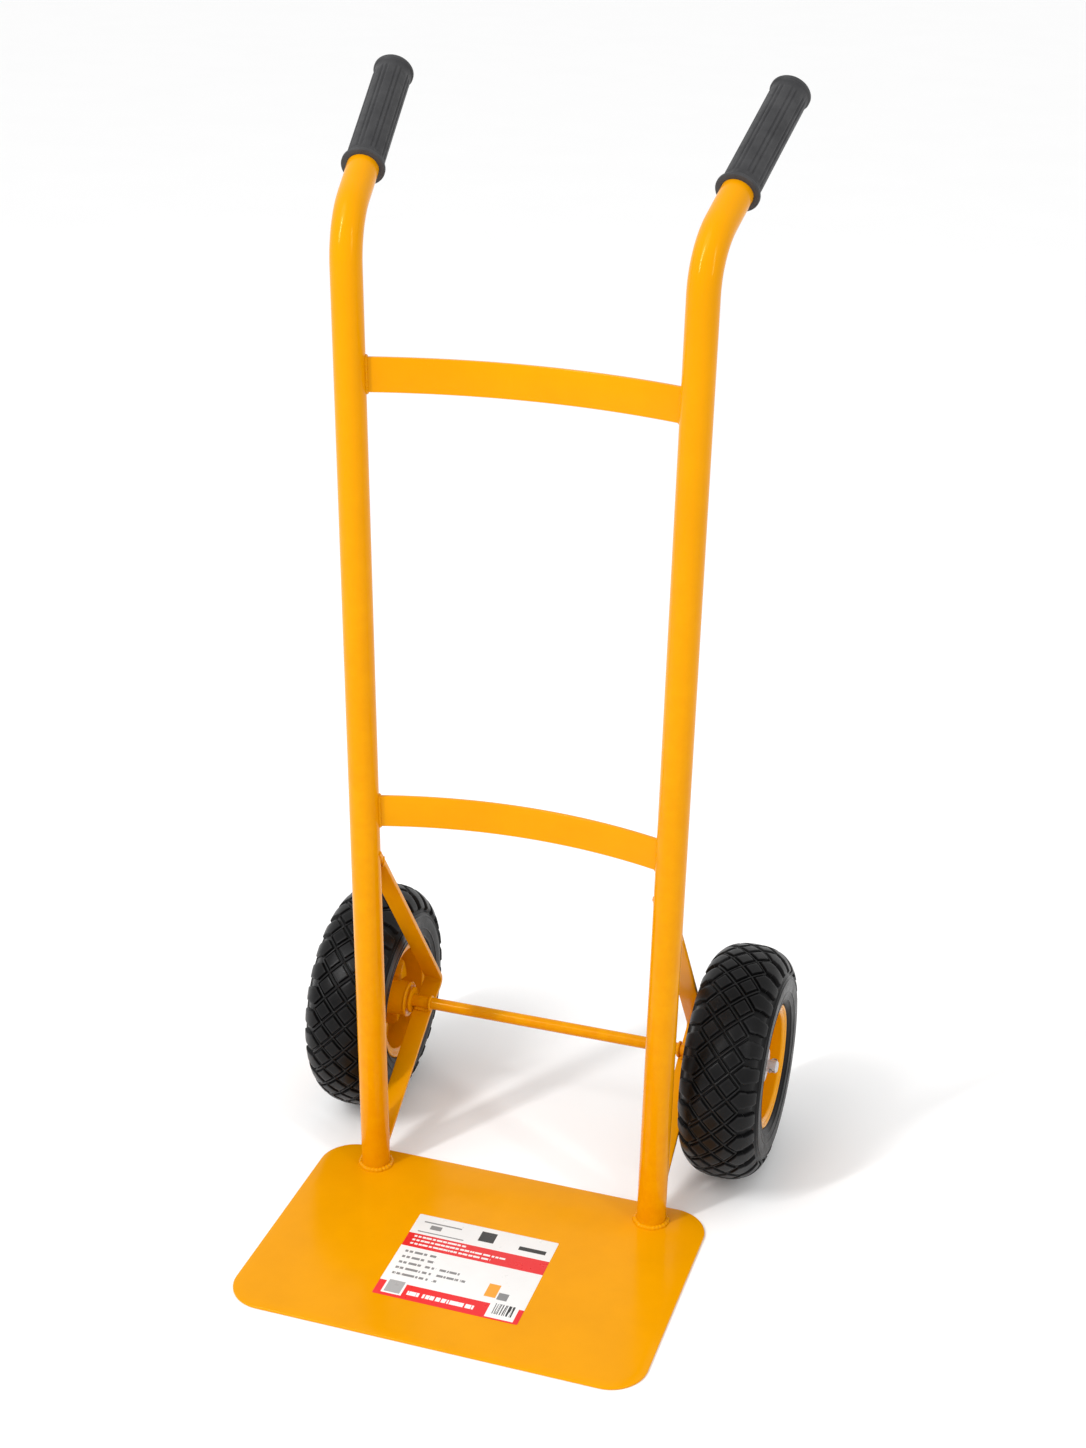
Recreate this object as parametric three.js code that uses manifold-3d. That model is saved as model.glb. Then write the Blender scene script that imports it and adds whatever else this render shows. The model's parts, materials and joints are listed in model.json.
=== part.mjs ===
// Two-wheel hand truck: a welded tube frame on a flat toe plate, with two pneumatic wheels.
// Millimetres, +Z up. X runs across the truck, +Y points from the toe plate to the wheels.
// The origin is on the floor, at the centre of the truck's footprint.

import * as THREE from 'three';
import { mergeVertices } from 'three/addons/utils/BufferGeometryUtils.js';
import Module from 'manifold-3d';

const wasm = await Module();
wasm.setup();

// ---------- driving dimensions ----------

const fitGap = 0.3;                 // between pieces that touch
const runningGap = 0.3;             // radial, between the axle and what turns on it

const plateWidth = 450;
const plateFront = 277;             // from the stile's foot axis to the front edge
const plateBack = 28;               // from the stile's foot axis to the back edge
const plateThickness = 3;
const plateCornerRadius = 40;
const plateEdgeRadius = 0.8;

const labelWidth = 160;
const labelDepth = 142;
const labelThickness = 0.3;
const labelFromFront = 132;         // from the plate's front edge to the label's centre

const tubeDiameter = 32;
const tubeWall = 2;
const stileSpacing = 325;           // between the tube axes at the foot
const stileSplay = 0.75;            // degrees, each stile leans outwards
const bendStartHeight = 1025;
const bendRadius = 70;
const bendAngle = 60;               // degrees, backwards
const handleFlare = 7.5;            // degrees, outwards from straight back
const handleLength = 190;           // straight part after the bend

const gripLength = 152;
const gripWall = 2.5;
const gripCapThickness = 4;
const gripMouthLipHeight = 3.2;     // over the grip's body
const gripEndLipHeight = 1.8;
const gripLipThickness = 4;

const crossbarHeight = 35;
const crossbarThickness = 5;
const crossbarBow = 30;
const upperCrossbarBelowBend = 105; // from the bend's start down to the bar's centre
const lowerCrossbarAboveBracket = 64;

const bracketWidth = 22;
const bracketInset = 4;             // the bracket's middle is inboard of the stile's axis
const bracketThickness = 5;
const bracketBendRadius = 5;        // inside of the bend
const bracketTopLevel = 384;        // where the upper leg meets the stile
const bracketFootLevel = 30;        // where the lower leg meets the stile
const seatTilt = 29;                // degrees, the axle's seat above horizontal
const seatBehindAxle = 40;
const seatAheadOfAxle = 8;

const axleDiameter = 14;
const tyreFrontBehindStile = 15;    // from the stile's foot axis back to the tyre
const axleEndStickout = 13;         // beyond the outer washer
const axleEndChamfer = 1.5;

const tyreDiameter = 264;
const tyreWidth = 90;
const treadThickness = 10;
const sidewallThickness = 7;
const beadThickness = 9;

const beadSeatDiameter = 124;
const rimLipHeight = 8;             // over the bead seat
const rimLipInsideTyre = 7;         // from the tyre's widest part in to the lip, each side
const rimSheet = 2.5;
const rimWebOffset = 2;             // the outer half's web from the wheel's centre plane

const hubInsideTyre = 4;            // from the tyre's inner side in to the hub's inner end
const hubOuterReach = 24;           // from the wheel's centre plane outwards
const hubDiameter = 40;
const hubWall = 3.5;
const bearingLipHeight = 1;         // over the hub
const bearingLipThickness = 2.5;
const bearingDepth = 11;
const bearingNoseWall = 6;          // over the axle
const bearingNoseLength = 1.5;

const innerTubeWall = 2;
const innerTubeGap = 1;             // all round the inner tube
const valveStemDiameter = 7;
const valveStemLength = 22;         // from the rim towards the axle
const valveFromCentre = 14;         // from the wheel's centre plane
const valveCapDiameter = 9;
const valveCapLength = 9;

const innerWasherRim = 8;           // width of the ring between the hub and its bracket
const outerWasherRim = 12;          // wide enough to cover the bearing
const washerThickness = 2.5;
const cotterWire = 3;
const cotterHoleDiameter = 4;

const roundSides = 20;
const wheelSides = 32;
const smallSides = 12;

// ---------- derived sizes ----------

const radians = THREE.MathUtils.degToRad;
const tubeRadius = tubeDiameter / 2;
const axleRadius = axleDiameter / 2;
const tyreRadius = tyreDiameter / 2;
const axleLevel = tyreRadius;
const axleBehindStile = tyreRadius + tyreFrontBehindStile;
const upperCrossbarLevel = bendStartHeight - upperCrossbarBelowBend;
const lowerCrossbarLevel = bracketTopLevel + lowerCrossbarAboveBracket;
const hubInnerReach = tyreWidth / 2 - hubInsideTyre;
const plateTop = plateThickness;
const splay = radians(stileSplay);
const bracketMiddle = stileSpacing / 2 - bracketInset
  + Math.tan(splay) * (bracketTopLevel + bracketFootLevel) / 2;
const bearingFace = bearingLipThickness + bearingNoseLength + fitGap;
const innerWasherStart = bracketMiddle + bracketWidth / 2 + fitGap;
const wheelOffset = innerWasherStart + washerThickness + fitGap + bearingFace + hubInnerReach;
const outerWasherStart = hubOuterReach + bearingFace + fitGap;
const axleEnd = wheelOffset + outerWasherStart + washerThickness + axleEndStickout;
const cotterOffset = outerWasherStart + washerThickness + axleEndStickout / 2;
const footprintBack = Math.max(axleBehindStile + tyreRadius, plateBack);
const originShift = (footprintBack - plateFront) / 2;

// ---------- shared helpers ----------

function signedVolume(geometry) {
  const place = geometry.attributes.position;
  const index = geometry.index.array;
  const [a, b, c] = [new THREE.Vector3(), new THREE.Vector3(), new THREE.Vector3()];
  let sum = 0;
  for (let i = 0; i < index.length; i += 3) {
    a.fromBufferAttribute(place, index[i]);
    b.fromBufferAttribute(place, index[i + 1]);
    c.fromBufferAttribute(place, index[i + 2]);
    sum += a.dot(b.cross(c)) / 6;
  }
  return sum;
}

// Shares the vertices of a closed surface and turns its faces outwards.
function closed(source) {
  const bare = source.clone();
  bare.deleteAttribute('normal');
  bare.deleteAttribute('uv');
  const geometry = mergeVertices(bare, 1e-4);
  if (signedVolume(geometry) < 0) {
    const index = geometry.index.array;
    for (let i = 0; i < index.length; i += 3) {
      [index[i], index[i + 1]] = [index[i + 1], index[i]];
    }
  }
  return geometry;
}

function toSolid(source) {
  const geometry = closed(source);
  return new wasm.Manifold(new wasm.Mesh({
    numProp: 3,
    vertProperties: new Float32Array(geometry.attributes.position.array),
    triVerts: new Uint32Array(geometry.index.array),
  }));
}

function toGeometry(solid) {
  const mesh = solid.getMesh();
  const geometry = new THREE.BufferGeometry();
  geometry.setAttribute('position', new THREE.BufferAttribute(mesh.vertProperties, 3));
  geometry.setIndex(new THREE.BufferAttribute(mesh.triVerts, 1));
  return geometry;
}

function cut(body, ...tools) {
  let solid = toSolid(body);
  for (const tool of tools) solid = solid.subtract(toSolid(tool));
  return toGeometry(solid);
}

function join(body, ...others) {
  let solid = toSolid(body);
  for (const other of others) solid = solid.add(toSolid(other));
  return toGeometry(solid);
}

// A closed profile of [x, radius] points turned about the X axis.
function turned(profile, sides = roundSides) {
  const points = profile.map(([x, radius]) => new THREE.Vector2(radius, x));
  points.push(points[0].clone());
  return new THREE.LatheGeometry(points, sides).rotateZ(-Math.PI / 2);
}

function ring(start, end, innerRadius, outerRadius, sides = roundSides) {
  return turned([[start, innerRadius], [start, outerRadius], [end, outerRadius], [end, innerRadius]], sides);
}

function rod(radius, length, sides = roundSides) {
  return new THREE.CylinderGeometry(radius, radius, length, sides);
}

// Points on an ellipse quadrant or more, in the [x, radius] plane of a turned profile.
function arcPoints(centreX, centreRadius, halfWidth, halfHeight, from, to, steps) {
  return Array.from({ length: steps + 1 }, (_, i) => {
    const angle = radians(from + (to - from) * i / steps);
    return [centreX + halfWidth * Math.cos(angle), centreRadius + halfHeight * Math.sin(angle)];
  });
}

// A curve that passes through chosen stations, each with its own exact direction.
class StationCurve extends THREE.Curve {
  constructor(stations) {
    super();
    this.stations = stations;
  }
  getPoint(t, target = new THREE.Vector3()) {
    const along = t * (this.stations.length - 1);
    const i = Math.min(Math.floor(along), this.stations.length - 2);
    return target.lerpVectors(this.stations[i].point, this.stations[i + 1].point, along - i);
  }
  getPointAt(u, target) {
    return this.getPoint(u, target);
  }
  getTangentAt(u, target = new THREE.Vector3()) {
    return target.copy(this.stations[Math.round(u * (this.stations.length - 1))].direction);
  }
}

function sweptTube(stations, radius, boreRadius = 0) {
  const section = new THREE.Shape().absarc(0, 0, radius, 0, 2 * Math.PI);
  if (boreRadius > 0) section.holes.push(new THREE.Path().absarc(0, 0, boreRadius, 0, 2 * Math.PI));
  return new THREE.ExtrudeGeometry(section, {
    steps: stations.length - 1,
    curveSegments: roundSides / 2,
    extrudePath: new StationCurve(stations),
  });
}

// The side faces of a strip that follows a plan line, as one closed outline.
function stripOutline(centreLine, thickness) {
  const offset = (side) => centreLine.map((point, i) => {
    const before = centreLine[Math.max(i - 1, 0)];
    const after = centreLine[Math.min(i + 1, centreLine.length - 1)];
    const along = after.clone().sub(before).normalize();
    return new THREE.Vector2(point.x - side * along.y * thickness / 2, point.y + side * along.x * thickness / 2);
  });
  return new THREE.Shape([...offset(1), ...offset(-1).reverse()]);
}

// A line through corner points, with each corner rounded by an arc.
function roundedLine(corners, radius, steps = 5) {
  const line = [corners[0]];
  for (let i = 1; i < corners.length - 1; i += 1) {
    const into = corners[i].clone().sub(corners[i - 1]).normalize();
    const out = corners[i + 1].clone().sub(corners[i]).normalize();
    const turn = Math.atan2(into.cross(out), into.dot(out));
    const side = Math.sign(turn);
    const start = corners[i].clone().addScaledVector(into, -radius * Math.tan(Math.abs(turn) / 2));
    const centre = new THREE.Vector2(start.x - side * into.y * radius, start.y + side * into.x * radius);
    for (let step = 0; step <= steps; step += 1) {
      line.push(start.clone().rotateAround(centre, turn * step / steps));
    }
  }
  line.push(corners[corners.length - 1]);
  return line;
}

// ---------- materials ----------

const finishes = {
  paint: { color: 0xfaae00, roughness: 0.3, metalness: 0.0 },
  rubber: { color: 0x1b1b1c, roughness: 0.75, metalness: 0.0 },
  grip: { color: 0x26272a, roughness: 0.6, metalness: 0.0 },
  zinc: { color: 0xb9bdc2, roughness: 0.35, metalness: 1.0 },
  steel: { color: 0x8b8f94, roughness: 0.45, metalness: 1.0 },
  brass: { color: 0xb5974a, roughness: 0.4, metalness: 1.0 },
  plastic: { color: 0x101112, roughness: 0.5, metalness: 0.0 },
  label: { color: 0xf1f1ee, roughness: 0.4, metalness: 0.0 },
};

const truck = new THREE.Group();
truck.name = 'hand_truck';
truck.position.y = -originShift;

function place(name, geometry, finish, parent = truck) {
  const mesh = new THREE.Mesh(closed(geometry), new THREE.MeshStandardMaterial(finishes[finish]));
  mesh.geometry.computeVertexNormals();
  mesh.name = name;
  parent.add(mesh);
  return mesh;
}

// ---------- toe plate and label ----------

function roundedRectangle(left, right, bottom, top, radius) {
  const shape = new THREE.Shape();
  shape.absarc(right - radius, top - radius, radius, 0, Math.PI / 2);
  shape.absarc(left + radius, top - radius, radius, Math.PI / 2, Math.PI);
  shape.absarc(left + radius, bottom + radius, radius, Math.PI, 1.5 * Math.PI);
  shape.absarc(right - radius, bottom + radius, radius, 1.5 * Math.PI, 2 * Math.PI);
  return shape;
}

function addToePlate() {
  const half = plateWidth / 2 - plateEdgeRadius;
  const outline = roundedRectangle(
    -half, half, -plateFront + plateEdgeRadius, plateBack - plateEdgeRadius, plateCornerRadius - plateEdgeRadius);
  const plate = new THREE.ExtrudeGeometry(outline, {
    depth: plateThickness - 2 * plateEdgeRadius,
    bevelThickness: plateEdgeRadius,
    bevelSize: plateEdgeRadius,
    bevelSegments: 1,
    curveSegments: 6,
  });
  place('toe_plate', plate.translate(0, 0, plateEdgeRadius), 'paint');

  const label = new THREE.BoxGeometry(labelWidth, labelDepth, labelThickness);
  label.translate(0, labelFromFront - plateFront, plateTop + fitGap + labelThickness / 2);
  place('toe_plate_label', label, 'label');
}

// ---------- stiles and grips ----------

function stileUp(side) {
  return new THREE.Vector3(side * Math.sin(splay), 0, Math.cos(splay));
}

// A point on a straight stile's axis at a level above the floor.
function stileAxis(side, level) {
  const up = stileUp(side);
  return new THREE.Vector3(side * stileSpacing / 2, 0, 0).addScaledVector(up, level / up.z);
}

function stileStations(side, footLevel) {
  const up = stileUp(side);
  const flare = radians(handleFlare);
  const back = new THREE.Vector3(side * Math.sin(flare), Math.cos(flare), 0);
  back.addScaledVector(up, -back.dot(up)).normalize();
  const bendStart = stileAxis(side, bendStartHeight);
  const stations = [{ point: stileAxis(side, footLevel), direction: up }];
  const steps = Math.ceil(bendAngle / 7.5);
  for (let i = 0; i <= steps; i += 1) {
    const angle = radians(bendAngle) * i / steps;
    stations.push({
      point: bendStart.clone()
        .addScaledVector(back, bendRadius * (1 - Math.cos(angle)))
        .addScaledVector(up, bendRadius * Math.sin(angle)),
      direction: up.clone().multiplyScalar(Math.cos(angle)).addScaledVector(back, Math.sin(angle)),
    });
  }
  const bendEnd = stations[stations.length - 1];
  stations.push({
    point: bendEnd.point.clone().addScaledVector(bendEnd.direction, handleLength),
    direction: bendEnd.direction,
  });
  return stations;
}

// The straight stile with its fitting gap, for cutting what is welded to it.
function stileCutter(side) {
  const ends = [0, bendStartHeight].map((level) => ({ point: stileAxis(side, level), direction: stileUp(side) }));
  return sweptTube(ends, tubeRadius + fitGap);
}

// The profile starts at the open mouth and runs to the closed end, in [along, radius].
function gripProfile() {
  const bore = tubeRadius + fitGap;
  const body = bore + gripWall;
  const mouthLip = body + gripMouthLipHeight;
  const endLip = body + gripEndLipHeight;
  const soft = gripLipThickness / 4;
  const boreEnd = gripLength - gripCapThickness;
  return [
    [0, bore], [0, mouthLip - soft], [soft, mouthLip], [gripLipThickness - soft, mouthLip],
    [gripLipThickness, body + soft], [gripLipThickness + soft, body],
    [gripLength - gripLipThickness - soft, body], [gripLength - gripLipThickness, endLip],
    [gripLength - soft, endLip], [gripLength, endLip - soft], [gripLength, 0],
    [boreEnd, 0], [boreEnd, bore],
  ];
}

function addStiles() {
  const footLevel = plateTop + fitGap + tubeRadius * Math.tan(splay);
  for (const [name, side] of [['left', -1], ['right', 1]]) {
    const stations = stileStations(side, footLevel);
    place(`${name}_stile`, sweptTube(stations, tubeRadius, tubeRadius - tubeWall), 'paint');

    const tip = stations[stations.length - 1];
    const grip = place(`${name}_grip`, turned(gripProfile()), 'grip');
    grip.quaternion.setFromUnitVectors(new THREE.Vector3(1, 0, 0), tip.direction);
    grip.position.copy(tip.point).addScaledVector(tip.direction, gripCapThickness + fitGap - gripLength);
  }
}

// ---------- crossbars ----------

function addCrossbar(name, level) {
  const end = stileAxis(1, level).x;
  const radius = (end * end + crossbarBow * crossbarBow) / (2 * crossbarBow);
  const sweep = Math.asin(end / radius);
  const steps = 16;
  const line = Array.from({ length: steps + 1 }, (_, i) => {
    const angle = sweep * (2 * i / steps - 1);
    return new THREE.Vector2(radius * Math.sin(angle), radius * (Math.cos(angle) - Math.cos(sweep)));
  });
  const bar = new THREE.ExtrudeGeometry(stripOutline(line, crossbarThickness), {
    depth: crossbarHeight,
    bevelEnabled: false,
  });
  bar.translate(0, 0, level - crossbarHeight / 2);
  place(name, cut(bar, stileCutter(-1), stileCutter(1)), 'paint');
}

// ---------- axle brackets ----------

// Centre line of the bent strip in the [y, z] plane: upper leg, axle seat, lower leg.
function bracketLine() {
  const tilt = radians(seatTilt);
  const uphill = new THREE.Vector2(Math.cos(tilt), Math.sin(tilt));
  const belowAxle = axleRadius + fitGap + bracketThickness / 2;
  const seat = new THREE.Vector2(axleBehindStile, axleLevel)
    .add(new THREE.Vector2(uphill.y, -uphill.x).multiplyScalar(belowAxle));
  return roundedLine([
    new THREE.Vector2(0, bracketTopLevel + tubeRadius),
    seat.clone().addScaledVector(uphill, seatBehindAxle),
    seat.clone().addScaledVector(uphill, -seatAheadOfAxle),
    new THREE.Vector2(0, bracketFootLevel - tubeRadius / 2),
  ], bracketBendRadius + bracketThickness / 2);
}

function addBrackets() {
  for (const [name, side] of [['left', -1], ['right', 1]]) {
    const strip = new THREE.ExtrudeGeometry(stripOutline(bracketLine(), bracketThickness), {
      depth: bracketWidth,
      bevelEnabled: false,
    });
    // The outline's x and y become y and z, and the strip's width runs along X.
    strip.applyMatrix4(new THREE.Matrix4().set(0, 0, 1, 0, 1, 0, 0, 0, 0, 1, 0, 0, 0, 0, 0, 1));
    strip.translate(side * bracketMiddle - bracketWidth / 2, 0, 0);
    const floorCutter = new THREE.BoxGeometry(plateWidth, plateWidth, plateWidth)
      .translate(0, 0, plateTop + fitGap - plateWidth / 2);
    place(`${name}_axle_bracket`, cut(strip, stileCutter(side), floorCutter), 'paint');
  }
}

// ---------- axle and its fasteners ----------

// Moves a piece made along X at the wheel's centre to its side of the axle.
function atAxle(geometry, side) {
  if (side < 0) geometry.rotateZ(Math.PI);
  return geometry.translate(side * wheelOffset, axleBehindStile, axleLevel);
}

function cotterPin() {
  const wire = cotterWire / 2;
  const reach = axleRadius + cotterWire;
  const shank = rod(wire, 2 * reach, smallSides).translate(cotterOffset, 0, 0);
  const eye = new THREE.TorusGeometry(cotterWire, wire, 6, smallSides)
    .translate(cotterOffset, reach + cotterWire, 0);
  const leg = rod(wire, 2.5 * cotterWire, smallSides).rotateZ(Math.PI / 2)
    .translate(cotterOffset + 0.75 * cotterWire, -reach, 0);
  return join(shank, eye, leg);
}

function addAxle() {
  const tip = axleEnd - axleEndChamfer;
  const bar = turned([
    [-axleEnd, 0], [-axleEnd, axleRadius - axleEndChamfer], [-tip, axleRadius],
    [tip, axleRadius], [axleEnd, axleRadius - axleEndChamfer], [axleEnd, 0],
  ]);
  const holes = [-1, 1].map((side) => rod(cotterHoleDiameter / 2, 3 * axleDiameter, smallSides)
    .translate(side * (wheelOffset + cotterOffset), 0, 0));
  place('axle', cut(bar, ...holes).translate(0, axleBehindStile, axleLevel), 'paint');

  const bore = axleRadius + fitGap;
  const innerWasherEnd = -hubInnerReach - bearingFace - fitGap;
  for (const [name, side] of [['left', -1], ['right', 1]]) {
    const inner = ring(innerWasherEnd - washerThickness, innerWasherEnd, bore, bore + innerWasherRim);
    const outer = ring(outerWasherStart, outerWasherStart + washerThickness, bore, bore + outerWasherRim);
    place(`${name}_inner_washer`, atAxle(inner, side), 'paint');
    place(`${name}_outer_washer`, atAxle(outer, side), 'zinc');
    place(`${name}_cotter_pin`, atAxle(cotterPin(), side), 'steel');
  }
}

// ---------- wheels ----------

const beadSeat = beadSeatDiameter / 2;
const lipEdge = beadSeat + rimLipHeight;
const rimHalfWidth = tyreWidth / 2 - rimLipInsideTyre;
const beadOutside = rimHalfWidth - rimSheet - fitGap;

// One pressed half of the rim, from the lip over the bead seat to the hub. out is +1 or -1.
function rimHalf(out, webNearFace) {
  const roll = 2 * rimSheet;
  const lipX = rimHalfWidth;
  const hubFit = hubDiameter / 2 + fitGap;
  const webFarFace = webNearFace + rimSheet;
  const seat = beadSeat - fitGap;
  const wellX = webFarFace + 4 * rimSheet;
  const outline = [
    [webNearFace, hubFit], [webNearFace, seat - 3 * rimSheet], [webNearFace + 2 * rimSheet, seat],
    [lipX - 2 * rimSheet, seat], [lipX - rimSheet, seat + rimSheet], [lipX - rimSheet, lipEdge - rimSheet],
    [lipX - rimSheet / 2, lipEdge], [lipX, lipEdge - rimSheet / 2], [lipX, seat],
    [lipX - rimSheet, seat - rimSheet], [wellX, seat - rimSheet], [webFarFace, seat - roll - rimSheet],
    [webFarFace, hubFit],
  ];
  return turned(outline.map(([x, radius]) => [out * x, radius]), wheelSides);
}

// Raised pads pressed out of the inner web towards the frame. webMiddle is the sheet's middle plane.
function rimLobes(webMiddle) {
  const inner = hubDiameter / 2 + 4 * rimSheet;
  const outer = beadSeat - 5 * rimSheet;
  const height = 2 * rimSheet;
  return Array.from({ length: 5 }, (_, i) => {
    const pad = new THREE.Shape();
    const half = radians(20);
    pad.absarc(0, 0, outer, -half, half);
    pad.absarc(0, 0, inner, half, -half, true);
    const lobe = new THREE.ExtrudeGeometry(pad, {
      depth: height,
      bevelThickness: rimSheet,
      bevelSize: rimSheet,
      bevelSegments: 1,
      curveSegments: 3,
    });
    return lobe.rotateZ(2 * Math.PI * i / 5).rotateY(-Math.PI / 2).translate(-webMiddle - rimSheet, 0, 0);
  });
}

function tyreProfile() {
  const crown = tyreRadius;
  const half = tyreWidth / 2;
  const bead = beadSeat;
  const widest = (crown + bead) / 2;
  const upper = crown - widest;
  const lower = widest - bead;
  const outside = [
    [beadOutside - rimSheet, bead], [beadOutside, bead + rimSheet], [beadOutside, bead + 0.4 * lower],
    ...arcPoints(0, widest, half, upper, 0, 90, 6).map(([x, r]) => [half * (x / half) ** 0.8, r]),
  ];
  const inHalf = half - sidewallThickness;
  const inside = [
    ...arcPoints(0, widest, inHalf, upper - treadThickness, 90, 0, 4),
    [beadOutside - beadThickness, bead + 0.4 * lower], [beadOutside - beadThickness, bead],
  ];
  const mirror = (points) => points.slice().reverse().map(([x, r]) => [-x, r]);
  return [...outside, ...mirror(outside).slice(1), ...mirror(inside), ...inside.slice(1)];
}

const tubeTop = tyreRadius - treadThickness - innerTubeGap;
const tubeBottom = beadSeat + innerTubeGap;
const tubeMiddle = (tubeTop + tubeBottom) / 2;
const tubeHalfHeight = (tubeTop - tubeBottom) / 2;
const tubeHalfWidth = beadOutside - beadThickness - innerTubeGap;

// The inflated inner tube, a hollow ring open only where the valve stem enters.
function innerTube(valveBore) {
  const skin = (inset) => turned(
    arcPoints(0, tubeMiddle, tubeHalfWidth - inset, tubeHalfHeight - inset, 0, 360, 10).slice(0, -1),
    wheelSides);
  return cut(skin(0), skin(innerTubeWall), valveBore);
}

function addWheel(name, side) {
  const wheel = (part, geometry, finish) => place(`${name}_${part}`, atAxle(geometry, side), finish);
  const hubBore = hubDiameter / 2 - hubWall;
  const outerWeb = rimWebOffset;
  const innerWeb = -rimWebOffset + fitGap;

  // The valve points from the tube towards the axle, ahead of it.
  const stemRadius = valveStemDiameter / 2;
  const valveHole = rod(stemRadius + fitGap, tubeMiddle, smallSides)
    .translate(valveFromCentre, -side * tubeMiddle / 2, 0);

  wheel('tyre', turned(tyreProfile(), wheelSides), 'rubber');
  wheel('inner_tube', innerTube(valveHole), 'rubber');
  wheel('rim_outer_half', cut(rimHalf(1, outerWeb), valveHole), 'paint');
  wheel('rim_inner_half', join(rimHalf(-1, innerWeb), ...rimLobes(innerWeb + rimSheet / 2)), 'paint');
  wheel('hub_tube', ring(-hubInnerReach, hubOuterReach, hubBore, hubDiameter / 2), 'paint');

  const tubeFloor = tubeMiddle - tubeHalfHeight * Math.sqrt(1 - (valveFromCentre / tubeHalfWidth) ** 2);
  const stemTop = tubeFloor + 2 * innerTubeWall;
  const stemLength = valveStemLength + stemTop - beadSeat;
  wheel('valve_stem', rod(stemRadius, stemLength, smallSides)
    .translate(valveFromCentre, -side * (stemTop - stemLength / 2), 0), 'brass');
  const capStart = stemTop - stemLength - fitGap;
  wheel('valve_cap', rod(valveCapDiameter / 2, valveCapLength, smallSides)
    .translate(valveFromCentre, -side * (capStart - valveCapLength / 2), 0), 'plastic');

  // A flanged bearing in each end of the hub: seat, lip outside the hub, and a short nose.
  const bore = axleRadius + runningGap;
  const lip = hubDiameter / 2 + bearingLipHeight;
  const nose = axleRadius + bearingNoseWall;
  const lipEnd = fitGap + bearingLipThickness;
  const bearing = (out) => turned([
    [-bearingDepth, bore], [-bearingDepth, hubBore - fitGap], [fitGap, hubBore - fitGap],
    [fitGap, lip], [lipEnd, lip], [lipEnd, nose], [bearingFace, nose], [bearingFace, bore],
  ].map(([x, radius]) => [out * x + (out > 0 ? hubOuterReach : -hubInnerReach), radius]));
  wheel('outer_bearing', bearing(1), 'steel');
  wheel('inner_bearing', bearing(-1), 'paint');
}

// ---------- assembly ----------

addToePlate();
addStiles();
addCrossbar('upper_crossbar', upperCrossbarLevel);
addCrossbar('lower_crossbar', lowerCrossbarLevel);
addBrackets();
addAxle();
addWheel('left', -1);
addWheel('right', 1);
truck.updateMatrixWorld(true);

export default truck;
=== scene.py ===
"""Looks for the hand truck: fine surfaces, welds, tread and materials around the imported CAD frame.

Metres, in the row's frame: +Z up, +Y from the toe plate towards the wheels, +X to the right wheel.
"""

import json
import math

import bpy
from mathutils import Matrix, Vector


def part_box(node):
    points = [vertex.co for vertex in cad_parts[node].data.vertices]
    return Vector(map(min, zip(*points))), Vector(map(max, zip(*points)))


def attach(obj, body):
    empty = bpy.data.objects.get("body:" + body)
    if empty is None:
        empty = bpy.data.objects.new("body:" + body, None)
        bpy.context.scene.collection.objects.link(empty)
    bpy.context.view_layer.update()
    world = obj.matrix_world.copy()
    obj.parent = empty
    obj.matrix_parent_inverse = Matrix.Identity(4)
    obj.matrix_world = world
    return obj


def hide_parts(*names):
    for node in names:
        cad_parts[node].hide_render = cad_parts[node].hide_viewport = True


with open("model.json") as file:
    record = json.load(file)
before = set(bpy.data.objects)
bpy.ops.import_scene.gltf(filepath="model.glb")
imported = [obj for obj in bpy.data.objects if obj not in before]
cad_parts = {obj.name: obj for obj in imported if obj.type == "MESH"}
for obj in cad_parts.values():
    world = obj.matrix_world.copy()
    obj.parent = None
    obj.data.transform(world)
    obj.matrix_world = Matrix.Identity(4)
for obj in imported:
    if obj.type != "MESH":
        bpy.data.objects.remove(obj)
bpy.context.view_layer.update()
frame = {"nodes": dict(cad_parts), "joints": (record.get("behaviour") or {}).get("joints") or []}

MM = 0.001
SIDES = (("left", -1), ("right", 1))

# ---------- driving sizes, as in the CAD source ----------

FIT_GAP = 0.3 * MM
TUBE_RADIUS = 16 * MM
TUBE_WALL = 2 * MM
STILE_SPACING = 325 * MM
STILE_SPLAY = math.radians(0.75)
BEND_START = 1025 * MM
BEND_RADIUS = 70 * MM
BEND_ANGLE = math.radians(60)
HANDLE_FLARE = math.radians(7.5)
HANDLE_LENGTH = 190 * MM
GRIP_LENGTH = 152 * MM
GRIP_CAP = 4 * MM
CROSSBAR_THICKNESS = 5 * MM
CROSSBAR_BOW = 30 * MM
BRACKET_THICKNESS = 5 * MM
BRACKET_BEND = 5 * MM
BRACKET_TOP = 384 * MM
BRACKET_FOOT = 30 * MM
SEAT_TILT = math.radians(29)
SEAT_BEHIND = 40 * MM
SEAT_AHEAD = 8 * MM
AXLE_RADIUS = 7 * MM
TYRE_BLOCKS = 28

# ---------- places read from the frame ----------

PLATE_LOW, PLATE_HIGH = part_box("toe_plate")
LABEL_LOW, LABEL_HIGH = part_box("toe_plate_label")
AXLE_LOW, AXLE_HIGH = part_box("axle")
STILE_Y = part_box("right_stile")[0].y + TUBE_RADIUS
AXLE_CENTRE = (AXLE_LOW + AXLE_HIGH) / 2
WHEEL_CENTRE = {joint["child"]: Vector(joint["pos_m"]) for joint in frame["joints"]}


# ---------- mesh helpers ----------

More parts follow.
